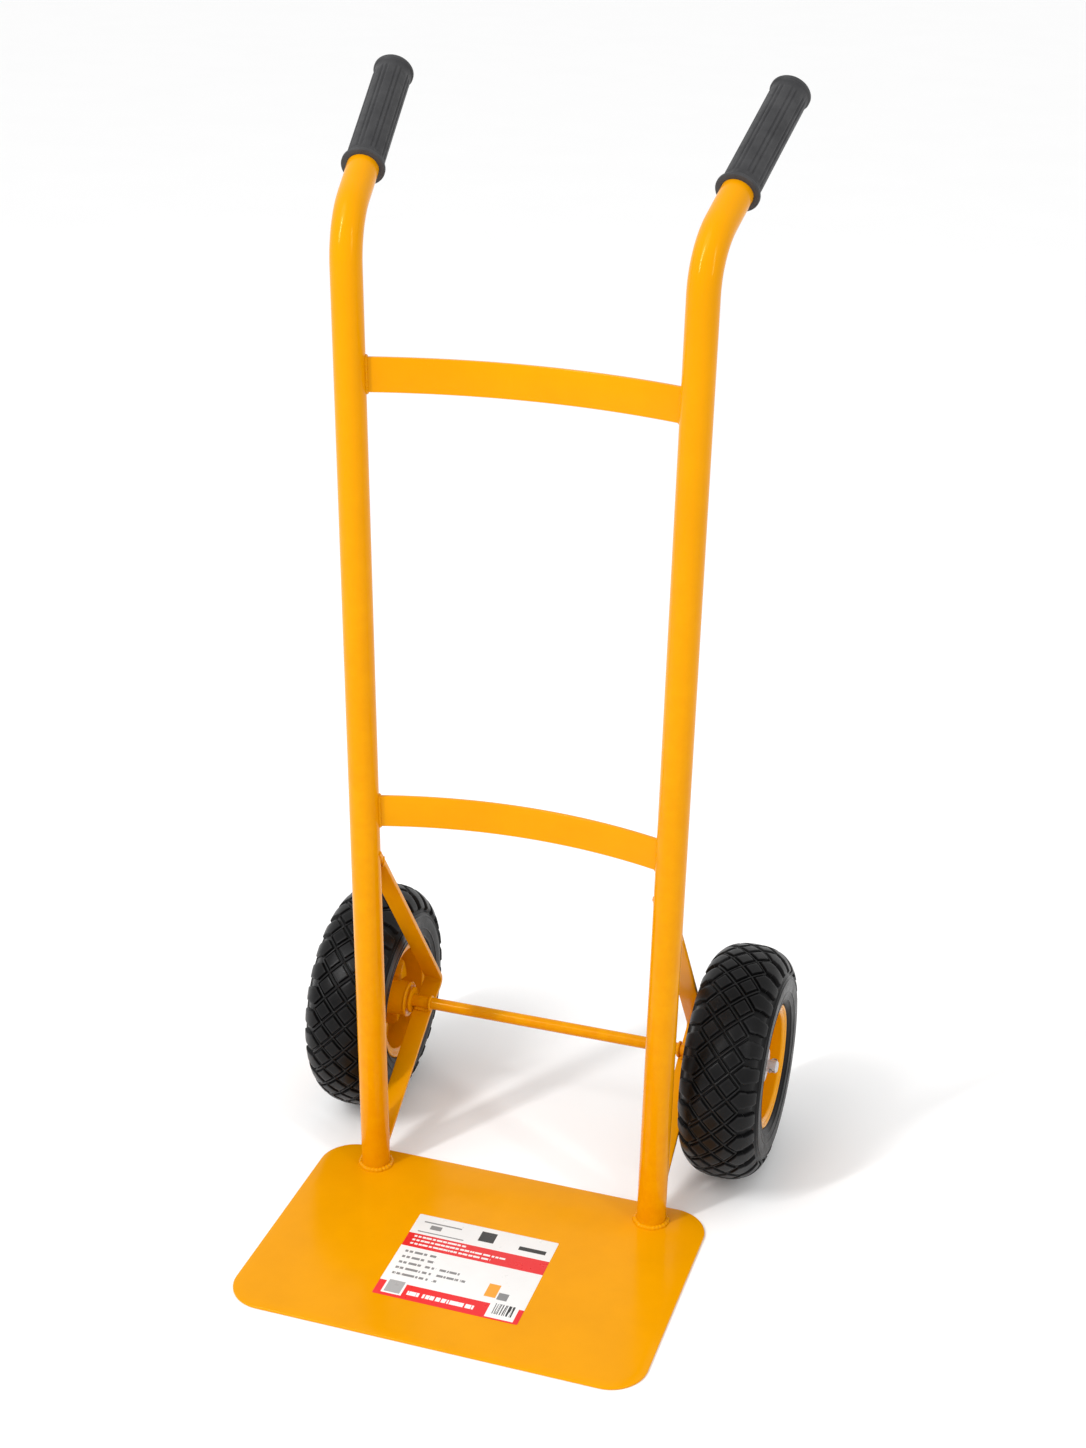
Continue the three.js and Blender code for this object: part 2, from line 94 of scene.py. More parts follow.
def piece(name, vertices, faces, body, slot, material, replaced=(), crease=35):
    """A new mesh piece that rides on a body, with smooth faces and sharp edges past the crease angle."""
    mesh = bpy.data.meshes.new(name)
    mesh.from_pydata([tuple(v) for v in vertices], [], faces)
    mesh.validate()
    mesh.shade_smooth()
    mesh.set_sharp_from_angle(angle=math.radians(crease))
    mesh.materials.append(material)
    made = bpy.data.objects.new(name, mesh)
    bpy.context.scene.collection.objects.link(made)
    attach(made, body)
    if replaced:
        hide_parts(*replaced)
    return made


def loft(rows, ends="caps"):
    """Faces between equal closed rows of points. ends is caps, loop (last row meets the first) or open."""
    count = len(rows[0])
    vertices = [point for row in rows for point in row]
    faces = []
    spans = len(rows) if ends == "loop" else len(rows) - 1
    for i in range(spans):
        a = i * count
        b = (i + 1) % len(rows) * count
        for j in range(count):
            k = (j + 1) % count
            faces.append((a + j, a + k, b + k, b + j))
    if ends == "caps":
        last = (len(rows) - 1) * count
        faces.append(tuple(reversed(range(count))))
        faces.append(tuple(last + j for j in range(count)))
    return vertices, faces


def circle(radius, sides):
    angles = [math.tau * i / sides for i in range(sides)]
    return [(radius * math.cos(angle), radius * math.sin(angle)) for angle in angles]


def rounded_rectangle(width, height, radius, steps=5):
    """Section points of a rectangle with rounded corners, anticlockwise."""
    points = []
    for quarter, (sx, sy) in enumerate(((1, 1), (-1, 1), (-1, -1), (1, -1))):
        centre = (sx * (width / 2 - radius), sy * (height / 2 - radius))
        for step in range(steps + 1):
            angle = math.pi / 2 * (quarter + step / steps)
            points.append((centre[0] + radius * math.cos(angle), centre[1] + radius * math.sin(angle)))
    return points


def placed(section, centre, across, up):
    return [centre + across * a + up * b for a, b in section]


def divided(section, spacing):
    """The same closed section with extra points, so that no side is longer than spacing."""
    made = []
    for (a, b), (c, d) in zip(section, section[1:] + section[:1]):
        count = max(1, math.ceil(math.hypot(c - a, d - b) / spacing))
        made += [(a + (c - a) * step / count, b + (d - b) * step / count) for step in range(count)]
    return made


def filleted(points, steps=4):
    """A closed profile of (x, radius, fillet) corners with each corner rounded by its fillet."""
    made = []
    for i, (x, r, fillet) in enumerate(points):
        corner = Vector((x, r))
        before = Vector(points[i - 1][:2]) - corner
        after = Vector(points[(i + 1) % len(points)][:2]) - corner
        if fillet == 0:
            made.append(corner)
            continue
        half = before.angle(after) / 2
        reach = min(fillet / math.tan(half), 0.49 * before.length, 0.49 * after.length)
        start = corner + before.normalized() * reach
        end = corner + after.normalized() * reach
        for step in range(steps + 1):
            t = step / steps
            made.append(start * (1 - t) ** 2 + corner * 2 * t * (1 - t) + end * t ** 2)
    return made


def turned_rows(profile, sides, shape=None):
    """Rows round the local X axis for a closed (x, radius) profile. shape moves a point by its angle."""
    rows = []
    for i in range(sides):
        angle = math.tau * i / sides
        row = []
        for x, r in profile:
            if shape:
                x, r = shape(x, r, angle)
            row.append(Vector((x, r * math.sin(angle), r * math.cos(angle))))
        rows.append(row)
    return rows


def bead_rows(path, radius, sides=10, closed=False, ripple=0.0, pitch=2.6 * MM):
    """Rows of a weld bead along a path: a round section that swells once every pitch."""
    rows = []
    travelled = 0.0
    total = sum((path[i + 1] - path[i]).length for i in range(len(path) - 1))
    normal = None
    for i, point in enumerate(path):
        ahead = path[(i + 1) % len(path)] if closed else path[min(i + 1, len(path) - 1)]
        behind = path[i - 1] if closed else path[max(i - 1, 0)]
        along = (ahead - behind).normalized()
        if normal is None:
            normal = along.orthogonal().normalized()
        normal = (normal - along * normal.dot(along)).normalized()
        if i:
            travelled += (point - path[i - 1]).length
        size = radius * (1 + ripple * math.sin(math.tau * travelled / pitch))
        if not closed:
            nearest = min(travelled, total - travelled)
            size *= 0.25 + 0.75 * math.sin(math.pi / 2 * min(1.0, nearest / (1.6 * radius)))
        rows.append(placed(circle(size, sides), point, normal, along.cross(normal)))
    return rows


def resampled(path, spacing, closed=False):
    """The same path with points about spacing apart."""
    corners = path + [path[0]] if closed else path
    made = []
    for a, b in zip(corners, corners[1:]):
        count = max(1, round((b - a).length / spacing))
        made += [a.lerp(b, step / count) for step in range(count)]
    return made if closed else made + [corners[-1]]


# ---------- materials ----------

class Surface:
    """A Principled material with short calls for the nodes that vary it over the surface."""

    def __init__(self, name, **fixed):
        self.material = bpy.data.materials.new(name)
        self.material.use_nodes = True
        self.tree = self.material.node_tree
        self.shader = self.tree.nodes["Principled BSDF"]
        for socket, value in fixed.items():
            self.shader.inputs[socket.replace("_", " ")].default_value = value
        self.place = self.node("ShaderNodeTexCoord").outputs["Object"]

    def node(self, kind, **settings):
        made = self.tree.nodes.new(kind)
        for key, value in settings.items():
            setattr(made, key, value)
        return made

    def link(self, source, target):
        self.tree.links.new(source, target)

    def noise(self, scale, detail=3.0, roughness=0.5, stretch=None):
        made = self.node("ShaderNodeTexNoise")
        made.inputs["Scale"].default_value = scale
        made.inputs["Detail"].default_value = detail
        made.inputs["Roughness"].default_value = roughness
        place = self.place
        if stretch:
            mapping = self.node("ShaderNodeMapping")
            mapping.inputs["Scale"].default_value = stretch
            self.link(self.place, mapping.inputs["Vector"])
            place = mapping.outputs["Vector"]
        self.link(place, made.inputs["Vector"])
        return made.outputs["Fac"]

    def cells(self, scale):
        made = self.node("ShaderNodeTexVoronoi")
        made.inputs["Scale"].default_value = scale
        self.link(self.place, made.inputs["Vector"])
        return made.outputs["Distance"]

    def edges(self, low, high):
        """0 to 1 where the mesh is convex, from the surface's pointiness."""
        return self.spread(self.node("ShaderNodeNewGeometry").outputs["Pointiness"], low, high, 0, 1)

    def spread(self, value, low, high, new_low, new_high):
        made = self.node("ShaderNodeMapRange")
        limits = {"From Min": low, "From Max": high, "To Min": new_low, "To Max": new_high}
        for socket, number in limits.items():
            made.inputs[socket].default_value = number
        self.link(value, made.inputs["Value"])
        return made.outputs["Result"]

    def math(self, operation, *values):
        made = self.node("ShaderNodeMath", operation=operation)
        for socket, value in zip(made.inputs, values):
            if isinstance(value, (int, float)):
                socket.default_value = value
            else:
                self.link(value, socket)
        return made.outputs["Value"]

    def mix(self, factor, first, second):
        made = self.node("ShaderNodeMix", data_type="RGBA")
        self.link(factor, made.inputs["Factor"])
        for socket, value in ((made.inputs[6], first), (made.inputs[7], second)):
            if isinstance(value, tuple):
                socket.default_value = (*value, 1.0)
            else:
                self.link(value, socket)
        return made.outputs[2]

    def bump(self, height, strength, distance, under=None):
        made = self.node("ShaderNodeBump")
        made.inputs["Strength"].default_value = strength
        made.inputs["Distance"].default_value = distance
        self.link(height, made.inputs["Height"])
        if under is not None:
            self.link(under, made.inputs["Normal"])
        return made.outputs["Normal"]

    def finish(self, color, roughness, normal):
        self.link(color, self.shader.inputs["Base Color"])
        self.link(roughness, self.shader.inputs["Roughness"])
        self.link(normal, self.shader.inputs["Normal"])
        return self.material


def powder_coat(name="powder_coat", lumps=0.0):
    """Glossy yellow-orange powder coat with faint orange peel. lumps adds the swell of a painted weld."""
    s = Surface(name, Specular_IOR_Level=0.18, Specular_Tint=(1.0, 0.85, 0.35, 1.0))
    clouds = s.noise(9, 4, 0.6)
    color = s.mix(s.spread(clouds, 0.35, 0.65, 0, 1), (0.71, 0.285, 0.0), (0.76, 0.310, 0.0))
    # painted shade: the convex edges are coloured darker orange, drawing dark edge lines
    edge_shade = s.math("MULTIPLY", s.edges(0.53, 0.62), s.spread(s.noise(60, 5, 0.7), 0.4, 0.6, 0.1, 0.7))
    color = s.mix(edge_shade, color, (0.68, 0.23, 0.0))
    specks = s.spread(s.noise(700, 2, 0.5), 0.76, 0.80, 0, 0.6)
    color = s.mix(specks, color, (0.45, 0.17, 0.01))
    rough = s.spread(s.noise(26, 6, 0.65), 0.3, 0.7, 0.13, 0.22)
    normal = s.bump(s.noise(420, 2, 0.4), 0.06, 0.0004)
    if lumps:
        normal = s.bump(s.noise(240, 4, 0.6), lumps, 0.0012, normal)
    return s.finish(color, rough, normal)


def tyre_rubber():
    """Moulded black rubber, dusty in broad patches, with a painted highlight: lighter grey on the convex
    block edges.
    """
    s = Surface("tyre_rubber", Specular_IOR_Level=0.13)
    clouds = s.spread(s.noise(22, 5, 0.6), 0.35, 0.7, 0, 1)
    color = s.mix(clouds, (0.003, 0.003, 0.0033), (0.007, 0.007, 0.0073))
    # painted highlight: the convex block edges are coloured lighter grey, as if the ribs caught the light
    wear_and_highlight = s.math("MULTIPLY", s.edges(0.5, 0.62), s.noise(90, 3, 0.6))
    color = s.mix(wear_and_highlight, color, (0.045, 0.045, 0.046))
    rough = s.spread(s.noise(48, 6, 0.6), 0.3, 0.7, 0.26, 0.42)
    normal = s.bump(s.noise(900, 4, 0.6), 0.25, 0.0005)
    return s.finish(color, rough, s.bump(s.noise(70, 3, 0.5), 0.15, 0.001, normal))


def grip_rubber():
    """Satin moulded rubber with a fine stipple."""
    s = Surface("grip_rubber", Specular_IOR_Level=0.3)
    clouds = s.spread(s.noise(40, 5, 0.6), 0.35, 0.65, 0, 1)
    color = s.mix(clouds, (0.024, 0.024, 0.026), (0.040, 0.040, 0.042))
    wear_and_highlight = s.math("MULTIPLY", s.edges(0.51, 0.6), s.noise(150, 3, 0.6))
    color = s.mix(wear_and_highlight, color, (0.075, 0.075, 0.078))
    rough = s.spread(s.noise(120, 5, 0.6), 0.3, 0.7, 0.42, 0.62)
    return s.finish(color, rough, s.bump(s.cells(1300), 0.3, 0.0003))


def tube_rubber():
    """Smooth butyl rubber of the inner tubes."""
    s = Surface("tube_rubber", Specular_IOR_Level=0.5)
    color = s.mix(s.noise(30, 4, 0.6), (0.015, 0.015, 0.016), (0.035, 0.035, 0.036))
    rough = s.spread(s.noise(60, 4, 0.5), 0.3, 0.7, 0.3, 0.5)
    return s.finish(color, rough, s.bump(s.noise(400, 3, 0.5), 0.2, 0.0005))


def plated_metal(name, dark, light, low_roughness, high_roughness, metallic=1.0, grain=900):
    """A bare or plated metal with cloudy tone, fine grain and scuffs."""
    s = Surface(name, Metallic=metallic)
    color = s.mix(s.spread(s.noise(120, 5, 0.6), 0.35, 0.65, 0, 1), dark, light)
    rough = s.spread(s.noise(260, 6, 0.7), 0.3, 0.7, low_roughness, high_roughness)
    return s.finish(color, rough, s.bump(s.noise(grain, 4, 0.6), 0.15, 0.0004))


def moulded_plastic():
    s = Surface("moulded_plastic", Specular_IOR_Level=0.5)
    color = s.mix(s.noise(200, 4, 0.6), (0.012, 0.012, 0.012), (0.03, 0.03, 0.03))
    rough = s.spread(s.noise(300, 4, 0.5), 0.3, 0.7, 0.35, 0.55)
    return s.finish(color, rough, s.bump(s.noise(1500, 3, 0.5), 0.2, 0.0002))


def printed_label():
    """White vinyl with two red bands and plain grey bars and blocks. Nothing on it can be read."""
    s = Surface("printed_label", Specular_IOR_Level=0.5)
    axes = s.node("ShaderNodeSeparateXYZ")
    s.link(s.place, axes.inputs["Vector"])
    across = s.spread(axes.outputs["X"], LABEL_LOW.x, LABEL_HIGH.x, 0, 1)
    down = s.spread(axes.outputs["Y"], LABEL_HIGH.y, LABEL_LOW.y, 0, 1)

    def block(left, right, top, bottom):
        wide = s.math("COMPARE", across, (left + right) / 2, (right - left) / 2)
        tall = s.math("COMPARE", down, (top + bottom) / 2, (bottom - top) / 2)
        return s.math("MULTIPLY", wide, tall)

    def bars(left, right, top, bottom, scale, cut):
        """A block broken into dashes along its length."""
        dashes = s.math("GREATER_THAN", s.noise(scale, 1, 0.5, stretch=(1, 0.02, 0)), cut)
        return s.math("MULTIPLY", block(left, right, top, bottom), dashes)

    red = (0.72, 0.012, 0.016)
    white = (0.80, 0.80, 0.79)
    grey = (0.22, 0.22, 0.22)
    black = (0.02, 0.02, 0.02)
    color = s.mix(s.noise(25, 4, 0.6), (0.76, 0.76, 0.75), (0.84, 0.84, 0.83))
    color = s.mix(block(0, 1, 0.24, 0.405), color, red)
    color = s.mix(block(0, 1, 0.835, 1), color, red)
    color = s.mix(block(0.05, 0.19, 0.80, 0.97), color, white)
    color = s.mix(block(0.77, 0.965, 0.80, 0.985), color, white)
    for row, right in enumerate((0.42, 0.72, 0.62)):
        top = 0.262 + 0.045 * row
        color = s.mix(bars(0.05, right, top, top + 0.02, 420, 0.43), color, white)
    for row, right in enumerate((0.27, 0.28, 0.48, 0.54, 0.36)):
        top = 0.45 + 0.068 * row
        color = s.mix(bars(0.05, right, top, top + 0.026, 420, 0.43), color, grey)
    for place in ((0.06, 0.33, 0.075, 0.09), (0.12, 0.20, 0.11, 0.16), (0.05, 0.38, 0.20, 0.212)):
        color = s.mix(block(*place), color, grey)
    color = s.mix(block(0.47, 0.58, 0.05, 0.17), color, black)
    color = s.mix(block(0.76, 0.95, 0.13, 0.175), color, black)
    color = s.mix(bars(0.22, 0.68, 0.90, 0.945, 420, 0.40), color, white)
    color = s.mix(bars(0.80, 0.94, 0.82, 0.94, 900, 0.5), color, black)
    color = s.mix(block(0.065, 0.175, 0.815, 0.955), color, (0.35, 0.35, 0.35))
    color = s.mix(block(0.70, 0.78, 0.62, 0.77), color, (0.80, 0.33, 0.02))
    color = s.mix(block(0.79, 0.86, 0.70, 0.78), color, grey)
    rough = s.spread(s.noise(60, 5, 0.6), 0.3, 0.7, 0.25, 0.42)
    return s.finish(color, rough, s.bump(s.noise(35, 3, 0.5), 0.2, 0.0012))


def floor_paper():
    s = Surface("floor_paper", Specular_IOR_Level=0.1)
    color = s.mix(s.noise(2.5, 4, 0.5), (0.93, 0.93, 0.93), (0.95, 0.95, 0.95))
    rough = s.spread(s.noise(30, 4, 0.5), 0.3, 0.7, 0.85, 0.95)
    return s.finish(color, rough, s.bump(s.noise(500, 3, 0.5), 0.05, 0.0003))


PAINT = powder_coat()
WELD_PAINT = powder_coat("powder_coat_weld", lumps=0.5)
TYRE = tyre_rubber()
GRIP = grip_rubber()
INNER_TUBE = tube_rubber()
ZINC = plated_metal("zinc_plate", (0.42, 0.43, 0.45), (0.62, 0.63, 0.65), 0.24, 0.44, metallic=0.45)
STEEL = plated_metal("plain_steel", (0.28, 0.28, 0.29), (0.42, 0.42, 0.43), 0.3, 0.5)
BRASS = plated_metal("turned_brass", (0.50, 0.36, 0.14), (0.66, 0.50, 0.22), 0.25, 0.4)
PLASTIC = moulded_plastic()
LABEL = printed_label()


def weld(name, rows, body="frame", ends="loop"):
    """A painted bead of weld."""
    piece(name, *loft(rows, ends), body, "paint", WELD_PAINT, crease=60)


# ---------- toe plate and label ----------

def plate_outline(inset, radius, steps=18):
    """Outline of the plate, inset from its box, with round corners."""
    width = PLATE_HIGH.x - PLATE_LOW.x - 2 * inset
    depth = PLATE_HIGH.y - PLATE_LOW.y - 2 * inset
    centre = (PLATE_LOW + PLATE_HIGH) / 2
    return [(centre.x + a, centre.y + b) for a, b in rounded_rectangle(width, depth, radius - inset, steps)]


def make_toe_plate():
    """The plate with rounded edges. A ring of points inside each outline keeps the flat faces flat."""
    edge = 1.1 * MM
    corner = 40 * MM
    ring_inset = 12 * MM
    rows = []
    for level, start in ((PLATE_LOW.z + edge, -90), (PLATE_HIGH.z - edge, 0)):
        for step in range(5):
            angle = math.radians(start + 90 * step / 4)
            outline = plate_outline(edge * (1 - math.cos(angle)), corner)
            rows.append([Vector((x, y, level + edge * math.sin(angle))) for x, y in outline])
    inner = plate_outline(ring_inset, corner)
    rows.insert(0, [Vector((x, y, PLATE_LOW.z)) for x, y in inner])
    rows.append([Vector((x, y, PLATE_HIGH.z)) for x, y in inner])
    piece("plate", *loft(rows), "frame", "paint", PAINT, ["toe_plate"])


def make_label():
    """A vinyl label with rounded corners, lying on the plate."""
    centre = (LABEL_LOW + LABEL_HIGH) / 2
    size = LABEL_HIGH - LABEL_LOW
    corner = 1.5 * MM
    rows = []
    for inset, rise in ((0, 0), (0, 0.2 * MM), (0.2 * MM, 0.3 * MM)):
        outline = rounded_rectangle(size.x - 2 * inset, size.y - 2 * inset, corner)
        rows.append([Vector((centre.x + a, centre.y + b, PLATE_HIGH.z + rise)) for a, b in outline])
    piece("label", *loft(rows), "frame", "label", LABEL, ["toe_plate_label"])


# ---------- stiles and grips ----------

def stile_up(side):
    return Vector((side * math.sin(STILE_SPLAY), 0, math.cos(STILE_SPLAY)))


def stile_axis(side, level):
    """A point on the straight stile's axis at a level above the floor."""
    up = stile_up(side)
    return Vector((side * STILE_SPACING / 2, STILE_Y, 0)) + up * (level / up.z)


def stile_path(side):
    """Points and directions along the stile's axis, from the foot to the handle's tip."""
    up = stile_up(side)
    back = Vector((side * math.sin(HANDLE_FLARE), math.cos(HANDLE_FLARE), 0))
    back = (back - up * back.dot(up)).normalized()
    start = stile_axis(side, BEND_START)
    path = [(stile_axis(side, PLATE_HIGH.z + FIT_GAP), up)]
    steps = 32
    for i in range(steps + 1):
        angle = BEND_ANGLE * i / steps
        point = start + back * BEND_RADIUS * (1 - math.cos(angle)) + up * BEND_RADIUS * math.sin(angle)
        path.append((point, up * math.cos(angle) + back * math.sin(angle)))
    point, direction = path[-1]
    path.append((point + direction * HANDLE_LENGTH, direction))
    return path


def make_stile(name, side):
    """A bent tube with its bore, and the ring of weld at its foot."""
    path = stile_path(side)
    across = path[0][1].cross(path[-1][1]).normalized()
    sides = 64

    def rings(radius):
        return [placed(circle(radius, sides), point, across, along.cross(across)) for point, along in path]

    rows = rings(TUBE_RADIUS) + rings(TUBE_RADIUS - TUBE_WALL)[::-1]
    piece(f"{name}_stile_tube", *loft(rows, "loop"), "frame", "paint", PAINT, [f"{name}_stile"])

    foot = stile_axis(side, PLATE_HIGH.z)
    count = 150
    rise = 0.7 * MM
    wander = 0.5 * MM
    ring = []
    for i in range(count):
        angle = math.tau * i / count
        reach = TUBE_RADIUS + 0.9 * MM + wander * math.sin(3 * angle + side) * math.sin(5 * angle)
        ring.append(foot + Vector((reach * math.cos(angle), reach * math.sin(angle), rise)))
    rows = bead_rows(ring, 3.1 * MM, closed=True, ripple=0.10, pitch=4.1 * MM)
    sunk = PLATE_HIGH.z - 0.2 * MM
    flat = [[Vector((p.x, p.y, max(p.z, sunk))) for p in row] for row in rows]
    weld(f"{name}_foot_weld", flat)


def grip_profile():
    """(along, radius, ribbed) stations round the grip's section, from its mouth over its closed end."""
    bore = 16.3
    body = 18.8
    mouth = 22.0
    end = 20.6
    stations = [(0.0, bore, 0), (0.0, mouth - 1.0, 0), (0.3, mouth - 0.3, 0), (1.0, mouth, 0),
                (3.0, mouth, 0), (3.7, mouth - 0.3, 0), (4.1, mouth - 1.1, 0), (4.3, body + 1.1, 0),
                (4.9, body + 0.4, 0), (6.2, body + 0.1, 0), (11.0, body, 0), (12.0, body, 0.5),
                (13.0, body, 1), (60.0, body - 0.1, 1), (100.0, body - 0.1, 1), (137.0, body, 1),
                (138.0, body, 0.5), (139.0, body, 0), (146.0, body, 0), (147.0, body + 0.3, 0),
                (147.6, body + 0.9, 0), (147.9, end - 0.4, 0), (148.5, end, 0), (150.8, end, 0),
                (151.6, end - 0.5, 0), (152.0, end - 1.4, 0), (152.0, 12.0, 0), (151.6, 11.0, 0),
                (151.6, 0.4, 0), (148.0, 0.4, 0), (148.0, bore, 0)]
    return [(along * MM, radius * MM, ribbed) for along, radius, ribbed in stations]


GRIP_PATTERN = 19    # mesh steps in one panel and its rib
GRIP_PANELS = 8


def grip_relief(step):
    """Height of the grip's surface at a step round it: broad panels, and a rib between two grooves."""
    groove = -0.75 * MM
    panel = 0.35 * MM
    rib = 0.1 * MM
    shape = {0: rib, 10: rib, 11: groove, 12: groove, 13: rib, 16: rib, 17: groove, 18: groove}
    return shape.get(step % GRIP_PATTERN, panel)


def make_grip(name, side):
    path = stile_path(side)
    tip, along = path[-1]
    across = path[0][1].cross(along).normalized()
    up = along.cross(across)
    start = tip + along * (GRIP_CAP + FIT_GAP - GRIP_LENGTH)
    steps = GRIP_PATTERN * GRIP_PANELS
    rows = []
    for distance, radius, ribbed in grip_profile():
        row = []
        for i in range(steps):
            angle = math.tau * i / steps
            reach = radius + ribbed * grip_relief(i)
            spoke = across * math.cos(angle) + up * math.sin(angle)
            row.append(start + along * distance + spoke * reach)
        rows.append(row)
    piece(f"{name}_grip_sleeve", *loft(rows, "loop"), "frame", "grip", GRIP, [f"{name}_grip"], crease=42)


# ---------- crossbars and brackets, with the welds that hold them ----------

def tube_hit(side, level, start, direction, reach):
    """Where a level line meets the circle of a given reach round the stile's axis."""
    axis = stile_axis(side, level)
    offset = Vector((start.x - axis.x, start.y - axis.y))
    heading = Vector((direction.x, direction.y))
    a = heading.dot(heading)
    b = 2 * offset.dot(heading)
    c = offset.dot(offset) - reach ** 2
    distance = (-b - math.sqrt(max(b * b - 4 * a * c, 0.0))) / (2 * a)
    return start + direction * distance


def crossbar_arc(level):
    """Centre and radius of the bowed bar's line in plan."""
    end = stile_axis(1, level).x
    radius = (end ** 2 + CROSSBAR_BOW ** 2) / (2 * CROSSBAR_BOW)
    return Vector((0, STILE_Y + CROSSBAR_BOW - radius, level)), radius


def make_crossbar(name):
    low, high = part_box(name)
    level = (low.z + high.z) / 2
    height = high.z - low.z
    centre, radius = crossbar_arc(level)
    inside = math.asin((stile_axis(1, level).x - TUBE_RADIUS + 1.2 * MM) / radius)
    section = rounded_rectangle(CROSSBAR_THICKNESS, height, 0.9 * MM)
    rows = []
    steps = 64
    for i in range(steps + 1):
        angle = inside * (2 * i / steps - 1)
        outwards = Vector((math.sin(angle), math.cos(angle), 0))
        rows.append(placed(section, centre + outwards * radius, outwards, Vector((0, 0, 1))))
    piece(f"{name}_bar", *loft(rows), "frame", "paint", PAINT, [name])

    for side_name, side in SIDES:
        angle = side * inside
        outwards = Vector((math.sin(angle), math.cos(angle), 0))
        along = Vector((side * math.cos(angle), -side * math.sin(angle), 0))
        path = []
        for a, b in rounded_rectangle(CROSSBAR_THICKNESS + 1.2 * MM, height + 1.0 * MM, 2.2 * MM, 4):
            start = centre + outwards * (radius + a) + Vector((0, 0, b)) - along * 30 * MM
            path.append(tube_hit(side, level + b, start, along, TUBE_RADIUS + 0.4 * MM))
        path = resampled(path, 0.7 * MM, closed=True)
        rows = bead_rows(path, 1.7 * MM, closed=True, ripple=0.16, pitch=3.1 * MM)
        weld(f"{side_name}_{name}_weld", rows)


def bracket_line():
    """Centre line of the bent strip in the (y, z) plane, with its bends rounded, and its seat's slope."""
    uphill = Vector((math.cos(SEAT_TILT), math.sin(SEAT_TILT)))
    below = AXLE_RADIUS + FIT_GAP + BRACKET_THICKNESS / 2
    seat = Vector((AXLE_CENTRE.y, AXLE_CENTRE.z)) + Vector((uphill.y, -uphill.x)) * below
    corners = [Vector((STILE_Y, BRACKET_TOP + TUBE_RADIUS)), seat + uphill * SEAT_BEHIND,
               seat - uphill * SEAT_AHEAD, Vector((STILE_Y, BRACKET_FOOT - TUBE_RADIUS / 2))]
    line = [corners[0]]
    radius = BRACKET_BEND + BRACKET_THICKNESS / 2
    for before, corner, after in zip(corners, corners[1:], corners[2:]):
        into = (corner - before).normalized()
        out = (after - corner).normalized()
        turn = math.atan2(into.x * out.y - into.y * out.x, into.dot(out))
        start = corner - into * radius * math.tan(abs(turn) / 2)
        side = math.copysign(1, turn)
        centre = start + Vector((-into.y, into.x)) * side * radius
        for step in range(13):
            line.append(centre + Matrix.Rotation(turn * step / 12, 2) @ (start - centre))
    line.append(corners[-1])
    return line, uphill


def make_bracket(name, side):
    node = f"{name}_axle_bracket"
    low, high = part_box(node)
    middle = (low.x + high.x) / 2
    width = high.x - low.x
    line, uphill = bracket_line()
    section = rounded_rectangle(width, BRACKET_THICKNESS, 0.9 * MM)
    rows = []
    for i, point in enumerate(line):
        ahead = line[min(i + 1, len(line) - 1)] - line[max(i - 1, 0)]
        along = Vector((0, ahead.x, ahead.y)).normalized()
        centre = Vector((middle, point.x, point.y))
        rows.append(placed(section, centre, Vector((1, 0, 0)), along.cross(Vector((1, 0, 0)))))
    piece(f"{name}_bracket_strip", *loft(rows), "frame", "paint", PAINT, [node])

    for end, inner, outer in (("top", line[0], line[1]), ("foot", line[-1], line[-2])):
        into = Vector((0, inner.x - outer.x, inner.y - outer.y)).normalized()
        normal = into.cross(Vector((1, 0, 0)))
        start = Vector((middle, outer.x, outer.y))
        path = []
        outline = rounded_rectangle(width + 0.2 * MM, BRACKET_THICKNESS + 0.8 * MM, 2.4 * MM, 4)
        for a, b in divided(outline, 0.8 * MM):
            path.append(bracket_hit(side, start + Vector((a, 0, 0)) + normal * b, into))
        path = resampled(path, 0.8 * MM, closed=True)
        path = [Vector((p.x, p.y, max(p.z, PLATE_HIGH.z + 1.5 * MM))) for p in path]
        rows = bead_rows(path, 1.1 * MM, closed=True, ripple=0.08, pitch=3.3 * MM)
        weld(f"{name}_bracket_{end}_weld", rows)

    make_seat_welds(name, middle, width, uphill)


def bracket_hit(side, start, into):
    """Where a line along a bracket's leg meets the stile, or its nearest pass where it misses."""
    reach = TUBE_RADIUS + 0.3 * MM
    axis = stile_axis(side, start.z)
    across = min(abs(start.x - axis.x), reach - 0.05 * MM)
    depth = math.sqrt(reach ** 2 - across ** 2)
    return start + into * ((axis.y + depth - start.y) / into.y)


def make_seat_welds(name, middle, width, uphill):
    """Two fillets along the axle on the strip, and a bead round the axle at the strip's inboard edge."""
    along = Vector((0, uphill.x, uphill.y))
    normal = Vector((0, -uphill.y, uphill.x))
    centre = Vector((middle, AXLE_CENTRE.y, AXLE_CENTRE.z))
    for end, way in (("front", -1), ("back", 1)):
        ground = centre + along * way * 6.6 * MM - normal * 5.6 * MM
        path = [ground + Vector((x, 0, 0)) for x in (-width / 2 + 0.5 * MM, width / 2 - 0.5 * MM)]
        rows = bead_rows(resampled(path, 0.6 * MM), 2.5 * MM, ripple=0.14, pitch=3.0 * MM)
        weld(f"{name}_axle_{end}_weld", rows, ends="caps")
    inboard = middle - math.copysign(width / 2 - 0.6 * MM, middle)
    ring = [Vector((inboard, centre.y + a, centre.z + b)) for a, b in circle(AXLE_RADIUS + 0.4 * MM, 60)]
    rows = bead_rows(ring, 1.9 * MM, closed=True, ripple=0.10, pitch=3.0 * MM)
    weld(f"{name}_axle_edge_weld", rows)


# ---------- axle, washers and split pins ----------

def at_wheel(name, side, rows):
    """Moves rows made at a wheel's centre, with X pointing outwards, to that wheel."""
    centre = WHEEL_CENTRE[f"{name}_wheel"]
    return [[centre + Vector((side * p.x, side * p.y, p.z)) for p in row] for row in rows]


